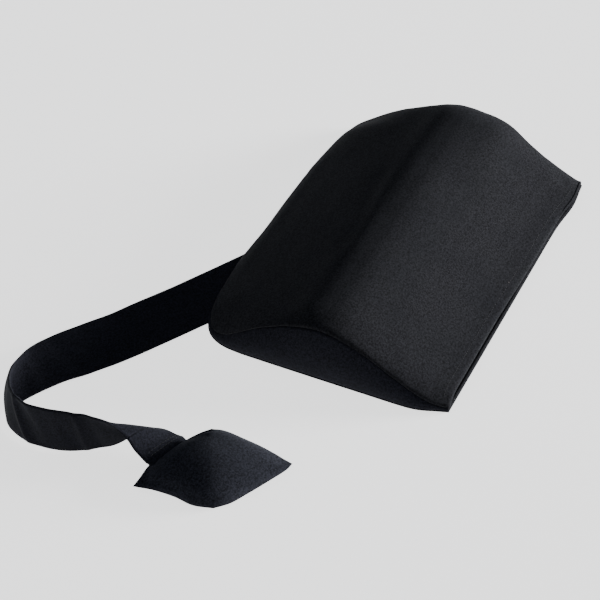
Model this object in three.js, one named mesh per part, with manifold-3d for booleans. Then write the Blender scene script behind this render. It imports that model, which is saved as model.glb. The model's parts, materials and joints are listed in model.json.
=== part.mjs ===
// Lumbar support cushion with a fabric strap and a stuffed counterweight pouch.
// Millimetres, +Z up. The cushion lies on its flat back, in the plane z = 0.
// Origin: centre of the back face. +X runs across the back of the seat, +Y points
// to the strap side, and +Z points out of the supporting front face.
import * as THREE from "three";
import { mergeVertices } from "three/addons/utils/BufferGeometryUtils.js";
import Module from "manifold-3d";

const wasm = await Module();
wasm.setup();

// ---- driving dimensions -------------------------------------------------------
const GAP = 0.3; // clearance between pieces that touch
const HALF_LENGTH = 181; // half the cushion's length along X
const STRAP_SIDE = 129; // y of the strap-side edge
const THIN_SIDE = -122; // y of the front panel's thin edge, above the zip
const LIP_Y = -129; // y of the back panel's lip below the zip
const CORNER = 44; // plan radius of the two strap-side corners
const FABRIC = 1.6; // cover fabric with its seam allowance
const END_DROP = 6; // how far the crown falls at the two ends
const FOAM_TOP = 2.1; // foam below the outside of the front panel
const FOAM_INSET = 2.1; // foam inside the outside of the gusset
const FOAM_FRONT = -118.5; // y of the foam behind the zip

// height of the crown over the middle section, from the thin edge to the strap side
const CROWN = [
  [-122, 13], [-99, 25.5], [-76, 37], [-54, 48.5], [-35, 57.5], [-20, 63.5],
  [-8, 66], [6, 65.8], [22, 62.5], [40, 56], [63, 46], [97, 28.5], [117, 17.5],
  [129, 11],
];

const STRAP_WIDTH = 60;
const STRAP_THICK = 3.2;
const STRAP_Z = 1.6; // mid height of the strap where it lies flat, flush with the back
const FREE_Z = 1.75; // and past the flex line
const RUN_ANGLE = 145.9; // heading of the straight run, degrees from +X
const BEND_RADIUS = 80; // in-plane bend under the cushion
const SEWN_LENGTH = 50; // length stitched to the back panel
const ROOT_END = 134.7; // straight length from the bend to the flex line

const TUNNEL_WALL = 1.5;
const TUNNEL_SIDE = 2; // free room each side of the strap in the back panel
const TUNNEL_TOP = 4.0;

const ZIP_HALF = 163;
const ZIP_Z = 6.3; // height of the closing line
const TAPE_Y = -121;
const TAPE_THICK = 0.6;
const COIL_DEEP = 1.4;
const COIL_HIGH = 1.4;
const BLADE_GAP = 0.5; // half the room between the coils for the slider's blade
const SLIDER_X = 157;
const SLIDER_LONG = 9;
const SLIDER_HIGH = 6.2;
const PULL_LENGTH = 22;
const PULL_WIDTH = 4.6;
const PULL_THICK = 0.9;
const PULL_AXIS_Y = -125.15;

// strap edges past the flex line: far run, banked U-turn, near run, twist, pouch
const INNER_EDGE = [
  [-208, 157.5, FREE_Z], [-258, 191.2, FREE_Z], [-300, 219.5, FREE_Z],
  [-324, 234, FREE_Z], [-341, 239, FREE_Z], [-355, 234, 1.8], [-364, 219, 1.7],
  [-368, 200, 1.7], [-366, 182, 1.7], [-359, 165, 1.7], [-346, 147, 1.8],
  [-331, 131, 2.4], [-315, 116, 4], [-309, 97, 6.5], [-311, 76, 10.5],
];
const OUTER_EDGE = [
  [-172, 206.8, FREE_Z], [-216, 236.5, 2.2], [-246, 253.5, 5], [-268, 259, 10],
  [-292, 255.5, 21], [-320, 247, 34], [-345, 234, 46], [-363, 219, 54],
  [-374, 202, 58], [-373, 184, 58], [-367, 166, 56], [-361, 148, 53],
  [-356, 130, 48], [-352, 113, 34], [-355, 101, 22], [-357, 91, 13.5],
];
const STRAP_STEPS = 56;

// pouch corners: left ear, strap-side peak, right ear, low corner
const POUCH = {
  left: [-383, 88, 7],
  peak: [-300, 57, 15],
  right: [-300, -28, 7],
  low: [-374, 20, 5],
};
const POUCH_PUFF = 25;
const POUCH_WAIST = 3.5; // how far the free sides pull in
const POUCH_BULGE = 10; // how far the strap side bows out
const POUCH_FABRIC = 1.25;

// ---- materials ----------------------------------------------------------------
const material = (color, roughness, metalness = 0) =>
  new THREE.MeshStandardMaterial({ color, roughness, metalness });
const coverFabric = material(0x1c1d22, 0.95);
const strapFabric = material(0x141519, 0.95);
const foam = material(0x55565a, 1.0);
const zipTape = material(0x0e0e11, 0.9);
const zipCoil = material(0x18181b, 0.5);
const zipMetal = material(0x2a2a2e, 0.4, 0.8);
const canvas = material(0x2a2a30, 0.9);

// ---- geometry helpers -----------------------------------------------------------
const radians = (degrees) => (degrees * Math.PI) / 180;

// piecewise-linear interpolation through [x, value] pairs
function lookup(table, x) {
  const last = table[table.length - 1];
  if (x <= table[0][0]) return table[0][1];
  if (x >= last[0]) return last[1];
  const i = table.findIndex((entry) => entry[0] > x);
  const [x0, v0] = table[i - 1];
  const [x1, v1] = table[i];
  return v0 + ((v1 - v0) * (x - x0)) / (x1 - x0);
}

// height of the front panel's outside
function crown(x, y) {
  const end = Math.min(1, Math.abs(x) / HALF_LENGTH);
  const fromThin = (y - THIN_SIDE) / 60;
  const fromStrap = (STRAP_SIDE + 4 - y) / 60;
  const edge = Math.min(1, Math.max(0, fromThin), Math.max(0, fromStrap));
  return lookup(CROWN, y) - END_DROP * end ** 8 * edge;
}

// y of the strap-side edge at x, with the two round corners, inset by a margin
function strapSide(x, inset) {
  const past = Math.abs(x) - (HALF_LENGTH - CORNER);
  const radius = CORNER - inset;
  if (past <= 0) return STRAP_SIDE - inset;
  const reach = Math.min(past, radius);
  return STRAP_SIDE - CORNER + Math.sqrt(radius * radius - reach * reach);
}

function indexed(vertices, triangles) {
  const geometry = new THREE.BufferGeometry();
  const flat = new Float32Array(vertices.flat());
  geometry.setAttribute("position", new THREE.BufferAttribute(flat, 3));
  geometry.setIndex(triangles);
  return geometry;
}

// closed solid between two height functions over a grid of plan points
function slab(columns, rows, plan, top, bottom) {
  const vertices = [];
  const triangles = [];
  const stride = rows + 1;
  const layer = (columns + 1) * stride;
  for (const height of [top, bottom]) {
    for (let i = 0; i <= columns; i += 1) {
      for (let j = 0; j <= rows; j += 1) {
        const [x, y] = plan(i / columns, j / rows);
        vertices.push([x, y, height(x, y, i / columns, j / rows)]);
      }
    }
  }
  const quad = (a, b, c, d) => triangles.push(a, b, c, a, c, d);
  for (let i = 0; i < columns; i += 1) {
    for (let j = 0; j < rows; j += 1) {
      const a = i * stride + j;
      quad(a, a + stride, a + stride + 1, a + 1);
      quad(layer + a, layer + a + 1, layer + a + stride + 1, layer + a + stride);
    }
  }
  const wall = (a, b) => quad(a, b, b + layer, a + layer);
  for (let i = 0; i < columns; i += 1) {
    wall((i + 1) * stride, i * stride);
    wall(i * stride + rows, (i + 1) * stride + rows);
  }
  for (let j = 0; j < rows; j += 1) {
    wall(j, j + 1);
    wall(columns * stride + j + 1, columns * stride + j);
  }
  return indexed(vertices, triangles);
}

// closed tube of equal rings, each a list of points
function loft(rings) {
  const n = rings[0].length;
  const triangles = [];
  for (let i = 0; i + 1 < rings.length; i += 1) {
    for (let j = 0; j < n; j += 1) {
      const k = (j + 1) % n;
      const a = i * n;
      triangles.push(a + j, a + n + k, a + k, a + j, a + n + j, a + n + k);
    }
  }
  const end = (rings.length - 1) * n;
  for (let j = 1; j + 1 < n; j += 1) {
    triangles.push(0, j, j + 1, end, end + j + 1, end + j);
  }
  return indexed(rings.flat(), triangles);
}

function toManifold(geometry) {
  let plain = geometry.clone();
  plain.deleteAttribute("normal");
  plain.deleteAttribute("uv");
  plain = mergeVertices(plain, 1e-4);
  const vertProperties = new Float32Array(plain.attributes.position.array);
  const triVerts = new Uint32Array(plain.index.array);
  return new wasm.Manifold(new wasm.Mesh({ numProp: 3, vertProperties, triVerts }));
}

function toGeometry(solid) {
  const mesh = solid.getMesh();
  const geometry = new THREE.BufferGeometry();
  const points = new Float32Array(mesh.vertProperties);
  geometry.setAttribute("position", new THREE.BufferAttribute(points, 3));
  geometry.setIndex(Array.from(mesh.triVerts));
  return geometry;
}

// box between two corners
function box(low, high) {
  const size = high.map((value, i) => value - low[i]);
  const geometry = new THREE.BoxGeometry(...size);
  geometry.translate(...low.map((value, i) => value + size[i] / 2));
  return geometry;
}

// plan outline extruded between two heights
function prism(points, z0, z1) {
  const shape = new THREE.Shape(points.map(([x, y]) => new THREE.Vector2(x, y)));
  const settings = { depth: z1 - z0, bevelEnabled: false, steps: 1 };
  const geometry = new THREE.ExtrudeGeometry(shape, settings);
  geometry.translate(0, 0, z0);
  return geometry;
}

function namedMesh(name, geometry, paint) {
  geometry.computeVertexNormals();
  const mesh = new THREE.Mesh(geometry, paint);
  mesh.name = name;
  return mesh;
}

// ---- cushion plan ----------------------------------------------------------------
// x stations crowd towards the ends, where the corners turn
function station(t, inset) {
  const half = HALF_LENGTH - inset;
  return half * Math.sin(((t - 0.5) * Math.PI));
}

function cushionPlan(front, inset) {
  return (s, t) => {
    const x = station(s, inset);
    const back = strapSide(x, inset);
    return [x, front + (back - front) * t];
  };
}

// the three gusseted sides as one open line, from the thin edge round to it again
function outline(inset, front) {
  const points = [];
  const radius = CORNER - inset;
  const side = HALF_LENGTH - inset;
  const ends = 16; // straight stretch of each end, in equal steps
  const reach = STRAP_SIDE - CORNER - front;
  for (let i = 0; i < ends; i += 1) points.push([side, front + (reach * i) / ends]);
  for (const sign of [1, -1]) {
    const steps = 10;
    for (let i = 0; i <= steps; i += 1) {
      const turn = (i / steps) * 90;
      const angle = radians(sign > 0 ? turn : 90 + turn);
      const cx = sign * (HALF_LENGTH - CORNER);
      const cy = STRAP_SIDE - CORNER;
      points.push([cx + radius * Math.cos(angle), cy + radius * Math.sin(angle)]);
    }
  }
  for (let i = ends - 1; i >= 0; i -= 1) points.push([-side, front + (reach * i) / ends]);
  return points;
}

// ---- strap path -------------------------------------------------------------------
const heading = radians(RUN_ANGLE);
const along = [Math.cos(heading), Math.sin(heading)];
const across = [along[1], -along[0]];
const bendCentre = [-BEND_RADIUS, 10];

// centre line of the sewn and hidden part: straight, in-plane bend, straight
function rootPath(length) {
  const points = [[0, bendCentre[1] - SEWN_LENGTH], [0, bendCentre[1] - SEWN_LENGTH / 2]];
  const turn = heading - Math.PI / 2;
  const steps = 8;
  for (let i = 0; i <= steps; i += 1) {
    const angle = (turn * i) / steps;
    const x = bendCentre[0] + BEND_RADIUS * Math.cos(angle);
    points.push([x, bendCentre[1] + BEND_RADIUS * Math.sin(angle)]);
  }
  const [x, y] = points[points.length - 1];
  points.push([x + along[0] * length, y + along[1] * length]);
  return points;
}

// flat band of a given half width along a plan line
function band(path, half, z0, z1) {
  const rings = path.map(([x, y], i) => {
    const a = path[Math.max(0, i - 1)];
    const b = path[Math.min(path.length - 1, i + 1)];
    const length = Math.hypot(b[0] - a[0], b[1] - a[1]);
    const nx = (b[1] - a[1]) / length;
    const ny = -(b[0] - a[0]) / length;
    const left = [x - nx * half, y - ny * half];
    const right = [x + nx * half, y + ny * half];
    return [[...left, z0], [...right, z0], [...right, z1], [...left, z1]];
  });
  return loft(rings);
}

const rootLine = rootPath(ROOT_END);
const flexCentre = rootLine[rootLine.length - 1];
const tunnelHalf = STRAP_WIDTH / 2 + TUNNEL_SIDE;

// room for the strap, open underneath and past the cushion's edge
function tunnel(extra, top) {
  const line = rootPath(ROOT_END + 20);
  line[0] = [0, line[0][1] - TUNNEL_SIDE - extra];
  return toManifold(band(line, tunnelHalf + extra, -2, top));
}

// ---- cushion pieces -----------------------------------------------------------------
function frontPanel() {
  const top = (x, y) => crown(x, y);
  const under = (x, y) => crown(x, y) - FABRIC;
  return slab(44, 30, cushionPlan(THIN_SIDE, 0), top, under);
}

function gusset() {
  const outer = outline(0, THIN_SIDE + 1);
  const inner = outline(FABRIC, THIN_SIDE + 1);
  const rings = outer.map(([x, y], i) => {
    const [u, v] = inner[i];
    const z0 = FABRIC + GAP;
    const z1 = crown(x, y) - FABRIC - GAP;
    const z2 = crown(u, v) - FABRIC - GAP;
    return [[x, y, z0], [x, y, z1], [u, v, z2], [u, v, z0]];
  });
  const wall = toManifold(loft(rings));
  return toGeometry(wall.subtract(tunnel(TUNNEL_WALL + GAP, TUNNEL_TOP + TUNNEL_WALL + GAP)));
}

function foamCore() {
  const plan = cushionPlan(FOAM_FRONT, FOAM_INSET);
  const top = (x, y) => crown(x, y) - FOAM_TOP;
  const under = () => FABRIC + GAP;
  const block = toManifold(slab(28, 26, plan, top, under));
  const room = tunnel(TUNNEL_WALL + GAP, TUNNEL_TOP + TUNNEL_WALL + GAP);
  const patch = toManifold(box([-36, -46, 0], [36, 14, 7.2]));
  return toGeometry(block.subtract(room).subtract(patch));
}

function backPanel() {
  const edge = outline(0, THIN_SIDE + 0.5);
  const plate = toManifold(prism(edge, 0, FABRIC));
  const lip = toManifold(box([-176, LIP_Y, 0], [176, THIN_SIDE + 1, 2.9]));
  const roof = tunnel(TUNNEL_WALL, TUNNEL_TOP + TUNNEL_WALL);
  const inside = toManifold(prism(outline(0.2, THIN_SIDE), 0, 20));
  const whole = plate.add(lip).add(roof.intersect(inside));
  return toGeometry(whole.subtract(tunnel(0, TUNNEL_TOP)));
}

// ---- zip on the thin edge -------------------------------------------------------------
function tape(z0, z1) {
  return box([-ZIP_HALF - 6, TAPE_Y, z0], [ZIP_HALF + 6, TAPE_Y + TAPE_THICK, z1]);
}

// half-round envelope of one side's coil
function coil(z0) {
  const shape = new THREE.Shape();
  shape.moveTo(0, 0);
  shape.lineTo(COIL_HIGH, 0);
  shape.lineTo(COIL_HIGH, COIL_DEEP * 0.6);
  shape.lineTo(COIL_HIGH * 0.7, COIL_DEEP);
  shape.lineTo(COIL_HIGH * 0.3, COIL_DEEP);
  shape.lineTo(0, COIL_DEEP * 0.6);
  const settings = { depth: 2 * ZIP_HALF, bevelEnabled: false, steps: 1 };
  const geometry = new THREE.ExtrudeGeometry(shape, settings);
  const turn = new THREE.Matrix4();
  const x = new THREE.Vector3(0, 0, 1);
  const y = new THREE.Vector3(0, -1, 0);
  const z = new THREE.Vector3(1, 0, 0);
  turn.makeBasis(x, y, z);
  geometry.applyMatrix4(turn);
  geometry.translate(-ZIP_HALF, TAPE_Y - GAP, z0);
  return geometry;
}

function slider() {
  const x0 = SLIDER_X - SLIDER_LONG / 2;
  const x1 = SLIDER_X + SLIDER_LONG / 2;
  const z0 = ZIP_Z - SLIDER_HIGH / 2;
  const z1 = ZIP_Z + SLIDER_HIGH / 2;
  const plate = box([x0, -124.2, z0], [x1, -123.1, z1]);
  const inside = box([x0, -120, z0], [x1, -119.2, z1]);
  const blade = box([SLIDER_X, -123.6, ZIP_Z - 0.2], [x1 - 1, -119.5, ZIP_Z + 0.2]);
  const lower = box([x0, -123.5, z0], [x1, -121.5, z0 + 0.8]);
  const upper = box([x0, -123.5, z1 - 0.8], [x1, -121.5, z1]);
  const parts = [inside, blade, lower, upper];
  for (const side of [-1, 1]) {
    const x = SLIDER_X + side * 2.2;
    parts.push(box([x - 0.45, -126.9, ZIP_Z - 0.8], [x + 0.45, -123.8, ZIP_Z + 0.8]));
  }
  const bar = [[SLIDER_X - 2.4, -126.9, ZIP_Z - 0.8], [SLIDER_X + 2.4, -126.2, ZIP_Z + 0.8]];
  parts.push(box(...bar));
  const body = parts.reduce((sum, part) => sum.add(toManifold(part)), toManifold(plate));
  return toGeometry(body);
}

// tab with a window at one end, whose cross bar sits under the slider's arch
function pull() {
  const half = PULL_WIDTH / 2;
  const shape = new THREE.Shape();
  shape.moveTo(-0.45, -half);
  shape.lineTo(PULL_LENGTH - 2, -half);
  shape.quadraticCurveTo(PULL_LENGTH, -half, PULL_LENGTH, 0);
  shape.quadraticCurveTo(PULL_LENGTH, half, PULL_LENGTH - 2, half);
  shape.lineTo(-0.45, half);
  const hole = new THREE.Path();
  hole.moveTo(0.45, -1.3);
  hole.lineTo(4.2, -1.3);
  hole.lineTo(4.2, 1.3);
  hole.lineTo(0.45, 1.3);
  shape.holes.push(hole);
  const settings = { depth: PULL_THICK, bevelEnabled: false, curveSegments: 6 };
  const geometry = new THREE.ExtrudeGeometry(shape, settings);
  geometry.translate(0, 0, -PULL_THICK / 2);
  geometry.rotateX(Math.PI / 2);
  geometry.rotateY(Math.PI);
  geometry.translate(SLIDER_X, PULL_AXIS_Y, ZIP_Z);
  return geometry;
}

const stop = (x) => box([x, -123.2, ZIP_Z - 2.4], [x + 3, TAPE_Y - GAP, ZIP_Z + 2.4]);

// ---- strap --------------------------------------------------------------------------
function strapRoot() {
  const z0 = STRAP_Z - STRAP_THICK / 2;
  return band(rootLine, STRAP_WIDTH / 2, z0, z0 + STRAP_THICK);
}

function edgeCurve(side, points) {
  const half = (side * STRAP_WIDTH) / 2;
  const x = flexCentre[0] + along[0] * GAP + across[0] * half;
  const y = flexCentre[1] + along[1] * GAP + across[1] * half;
  const path = [[x, y, STRAP_Z], ...points].map((p) => new THREE.Vector3(...p));
  return new THREE.CatmullRomCurve3(path, false, "centripetal");
}

function strapFree() {
  const inner = edgeCurve(-1, INNER_EDGE).getSpacedPoints(STRAP_STEPS);
  const outer = edgeCurve(1, OUTER_EDGE).getSpacedPoints(STRAP_STEPS);
  const middle = inner.map((p, i) => p.clone().add(outer[i]).multiplyScalar(0.5));
  const rings = inner.map((p, i) => {
    const a = middle[Math.max(0, i - 1)];
    const b = middle[Math.min(STRAP_STEPS, i + 1)];
    const chord = outer[i].clone().sub(p);
    const normal = chord.cross(b.clone().sub(a)).normalize();
    if (i === 0) normal.set(0, 0, 1);
    normal.multiplyScalar(STRAP_THICK / 2);
    const corner = (point, sign) => point.clone().addScaledVector(normal, sign).toArray();
    return [corner(p, -1), corner(outer[i], -1), corner(outer[i], 1), corner(p, 1)];
  });
  return loft(rings);
}

// ---- pouch --------------------------------------------------------------------------
// plan point for u from the strap side to the far side, v from the ears to the peak
function pouchPlan(s, t) {
  const { left, peak, right, low } = POUCH;
  const u = 2 * s - 1;
  const v = 2 * t - 1;
  const mix = (i) =>
    (1 - s) * ((1 - t) * left[i] + t * peak[i]) + s * ((1 - t) * low[i] + t * right[i]);
  const toFar = [low[0] - left[0], low[1] - left[1]];
  const toPeak = [peak[0] - left[0], peak[1] - left[1]];
  const farLength = Math.hypot(...toFar);
  const peakLength = Math.hypot(...toPeak);
  const strapBow = u < 0 ? POUCH_BULGE * u * u : POUCH_WAIST * u * u;
  const sideBow = POUCH_WAIST * v * Math.abs(v);
  const du = -(1 - v * v) * strapBow;
  const dv = -(1 - u * u) * sideBow;
  const x = mix(0) + (toFar[0] / farLength) * du + (toPeak[0] / peakLength) * dv;
  const y = mix(1) + (toFar[1] / farLength) * du + (toPeak[1] / peakLength) * dv;
  return [x, y];
}

function seamHeight(s, t) {
  const { left, peak, right, low } = POUCH;
  return (1 - s) * ((1 - t) * left[2] + t * peak[2]) + s * ((1 - t) * low[2] + t * right[2]);
}

function puff(s, t) {
  const u = 2 * s - 1;
  const v = 2 * t - 1;
  return Math.max(0, (1 - u * u) * (1 - v * v));
}

const upperFace = (s, t) => seamHeight(s, t) + POUCH_PUFF * puff(s, t) ** 0.85;
const lowerFace = (s, t) =>
  seamHeight(s, t) - (seamHeight(s, t) - POUCH_FABRIC - GAP) * Math.min(1, 3 * puff(s, t));

function pouchUpper() {
  const top = (x, y, s, t) => upperFace(s, t) + POUCH_FABRIC + 0.15;
  const under = (x, y, s, t) => upperFace(s, t) + 0.15;
  return slab(18, 18, pouchPlan, top, under);
}

function pouchLower() {
  const top = (x, y, s, t) => lowerFace(s, t) - 0.15;
  const under = (x, y, s, t) => lowerFace(s, t) - POUCH_FABRIC - 0.15;
  return slab(18, 18, pouchPlan, top, under);
}

function weightBag() {
  const shrink = (value) => 0.5 + (value - 0.5) * 0.84;
  const plan = (s, t) => pouchPlan(shrink(s), shrink(t));
  const top = (x, y, s, t) => upperFace(shrink(s), shrink(t)) - 0.6;
  const under = (x, y, s, t) => lowerFace(shrink(s), shrink(t)) + 1.2;
  return slab(14, 14, plan, top, under);
}

// ---- assembly --------------------------------------------------------------------------
const cushion = new THREE.Group();
cushion.add(namedMesh("foam_core", foamCore(), foam));
cushion.add(namedMesh("cover_front_panel", frontPanel(), coverFabric));
cushion.add(namedMesh("cover_gusset", gusset(), coverFabric));
cushion.add(namedMesh("cover_back_panel", backPanel(), coverFabric));
cushion.add(namedMesh("strap_root", strapRoot(), strapFabric));
const patch = box([-34, -44, TUNNEL_TOP + TUNNEL_WALL + GAP], [34, 12, 6.8]);
cushion.add(namedMesh("strap_anchor_patch", patch, canvas));

const zip = new THREE.Group();
const frontTape = tape(ZIP_Z + BLADE_GAP, 11);
const backTape = tape(FABRIC + GAP, ZIP_Z - BLADE_GAP);
zip.add(namedMesh("zip_tape_front", frontTape, zipTape));
zip.add(namedMesh("zip_tape_back", backTape, zipTape));
zip.add(namedMesh("zip_coil_front", coil(ZIP_Z + BLADE_GAP), zipCoil));
zip.add(namedMesh("zip_coil_back", coil(ZIP_Z - BLADE_GAP - COIL_HIGH), zipCoil));
zip.add(namedMesh("zip_stop_closed", stop(ZIP_HALF + 0.4), zipMetal));
zip.add(namedMesh("zip_stop_open", stop(-ZIP_HALF - 3.4), zipMetal));
zip.add(namedMesh("zip_slider", slider(), zipMetal));
zip.add(namedMesh("zip_pull", pull(), zipMetal));

const counterweight = new THREE.Group();
counterweight.add(namedMesh("strap_free", strapFree(), strapFabric));
counterweight.add(namedMesh("pouch_upper_panel", pouchUpper(), coverFabric));
counterweight.add(namedMesh("pouch_lower_panel", pouchLower(), coverFabric));
counterweight.add(namedMesh("pouch_weight_bag", weightBag(), canvas));

const model = new THREE.Group();
model.add(cushion, zip, counterweight);

export default model;
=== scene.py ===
"""Lumbar support cushion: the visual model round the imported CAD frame. Metres, +Z up."""

import json
import math

import bmesh
import bpy
import numpy as np
from mathutils import Matrix, Vector


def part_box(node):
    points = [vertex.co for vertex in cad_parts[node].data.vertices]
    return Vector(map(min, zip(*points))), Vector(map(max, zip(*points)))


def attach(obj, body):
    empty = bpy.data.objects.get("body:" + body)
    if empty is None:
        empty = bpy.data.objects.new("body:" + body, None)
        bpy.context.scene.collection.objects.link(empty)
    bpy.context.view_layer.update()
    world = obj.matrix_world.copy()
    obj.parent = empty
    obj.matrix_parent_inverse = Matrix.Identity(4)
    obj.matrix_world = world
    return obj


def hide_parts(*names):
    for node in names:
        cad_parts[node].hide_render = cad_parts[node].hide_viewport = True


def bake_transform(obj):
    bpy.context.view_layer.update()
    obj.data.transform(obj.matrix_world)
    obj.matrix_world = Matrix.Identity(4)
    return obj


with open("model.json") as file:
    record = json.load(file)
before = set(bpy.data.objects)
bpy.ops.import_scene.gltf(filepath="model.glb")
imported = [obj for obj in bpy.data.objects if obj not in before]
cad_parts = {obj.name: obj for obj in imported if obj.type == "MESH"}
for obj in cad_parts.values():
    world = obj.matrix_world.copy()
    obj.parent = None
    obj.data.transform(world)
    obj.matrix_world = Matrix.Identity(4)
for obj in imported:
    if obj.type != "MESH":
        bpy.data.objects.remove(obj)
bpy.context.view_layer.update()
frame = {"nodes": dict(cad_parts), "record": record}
MM = 0.001

# ---- sizes from the frame ----
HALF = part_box("cover_front_panel")[1][0]
LIP_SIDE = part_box("cover_back_panel")[0][1]
joints = {joint["name"]: joint for joint in frame["record"]["behaviour"]["joints"]}
FLEX = np.array(joints["strap_lift"]["pos_m"])
FLEX_AXIS = np.array(joints["strap_lift"]["axis"])
ALONG = np.array([-FLEX_AXIS[1], FLEX_AXIS[0], 0.0])


# ---- camera and light ----
def look_at(obj, target):
    direction = Vector(target) - obj.location
    obj.rotation_euler = direction.to_track_quat("-Z", "Y").to_euler()


def on_sphere(target, azimuth, elevation, distance):
    a, e = math.radians(azimuth), math.radians(elevation)
    back = Vector((math.sin(a) * math.cos(e), -math.cos(a) * math.cos(e), math.sin(e)))
    return Vector(target) + back * distance


CAMERA_TARGET = (-0.0922, 0.0594, 0.0)
CAMERA_AZIMUTH, CAMERA_ELEVATION = -65.29, 43.11
CAMERA_DISTANCE = 2.5
CAMERA_LENS = 155.3
camera_data = bpy.data.cameras.new("camera")
camera_data.sensor_width = 36.0
camera_data.lens = CAMERA_LENS
camera_data.clip_end = 50.0
camera = bpy.data.objects.new("camera", camera_data)
camera.location = on_sphere(CAMERA_TARGET, CAMERA_AZIMUTH, CAMERA_ELEVATION, CAMERA_DISTANCE)
bpy.context.scene.collection.objects.link(camera)
look_at(camera, CAMERA_TARGET)
bpy.context.scene.camera = camera


def area_light(name, place, size, power, target, colour=(1, 1, 1)):
    data = bpy.data.lights.new(name, "AREA")
    data.shape = "RECTANGLE"
    data.size, data.size_y = size
    data.energy = power
    data.color = colour
    light = bpy.data.objects.new(name, data)
    light.location = place
    bpy.context.scene.collection.objects.link(light)
    look_at(light, target)


area_light("key", place=(3.0, -4.3, 0.98), size=(1.8, 1.0), power=960.0,
           target=(-0.1, 0.04, 0.03))
area_light("fill", place=(0.1, 1.9, 3.0), size=(2.2, 2.0), power=19.0,
           target=(0.0, 0.05, 0.03), colour=(0.88, 0.93, 1.0))

world = bpy.data.worlds.new("studio")
bpy.context.scene.world = world
world.use_nodes = True
background = world.node_tree.nodes["Background"]
background.inputs["Color"].default_value = (0.80, 0.88, 1.0, 1)
background.inputs["Strength"].default_value = 0.19


# ---- materials ----
KNIT_PITCH, KNIT_RELIEF = 1.05, 0.22  # millimetres
OTHER_FACE_U = 0.2  # added to u on the strap's other face, so that its material can tell it and paint shade on it


def new_material(name):
    mat = bpy.data.materials.new(name)
    mat.use_nodes = True
    tree = mat.node_tree
    return mat, tree, tree.nodes["Principled BSDF"]


def node(tree, kind, inputs=(), **settings):
    """New node; an input is a value or another node's socket."""
    made = tree.nodes.new(kind)
    for key, value in settings.items():
        setattr(made, key, value)
    for key, value in dict(inputs).items():
        if isinstance(value, bpy.types.NodeSocket):
            tree.links.new(value, made.inputs[key])
        else:
            made.inputs[key].default_value = value
    return made


def math_node(tree, operation, a, b=0.0):
    return node(tree, "ShaderNodeMath", {0: a, 1: b}, operation=operation).outputs[0]


def mix_colour(tree, factor, a, b, blend="MIX"):
    made = tree.nodes.new("ShaderNodeMix")
    made.data_type = "RGBA"
    made.blend_type = blend
    for socket, value in ((made.inputs[0], factor), (made.inputs[6], a), (made.inputs[7], b)):
        if isinstance(value, bpy.types.NodeSocket):
            tree.links.new(value, socket)
        else:
            socket.default_value = value
    return made.outputs[2]


def noise(tree, vector, scale, detail, rough=0.5):
    """Factor of a noise texture."""
    return node(tree, "ShaderNodeTexNoise", {"Vector": vector, "Scale": scale, "Detail": detail,
                                             "Roughness": rough}).outputs[0]


def ramp(tree, value, low, high):
    """0 at low and 1 at high, held there beyond them."""
    made = node(tree, "ShaderNodeMapRange", {0: value, 1: low, 2: high}, clamp=True)
    return made.outputs[0]


def shades(colour, dark, light):
    """A darker and a lighter tone of a colour, as RGBA."""
    return tuple(c * dark for c in colour) + (1.0,), tuple(c * light for c in colour) + (1.0,)


def bumped(tree, shader, height, strength, relief):
    """Bump from a height socket, its relief in millimetres."""
    bump = node(tree, "ShaderNodeBump",
                {"Height": height, "Strength": strength, "Distance": relief * MM})
    tree.links.new(bump.outputs[0], shader.inputs["Normal"])


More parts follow.
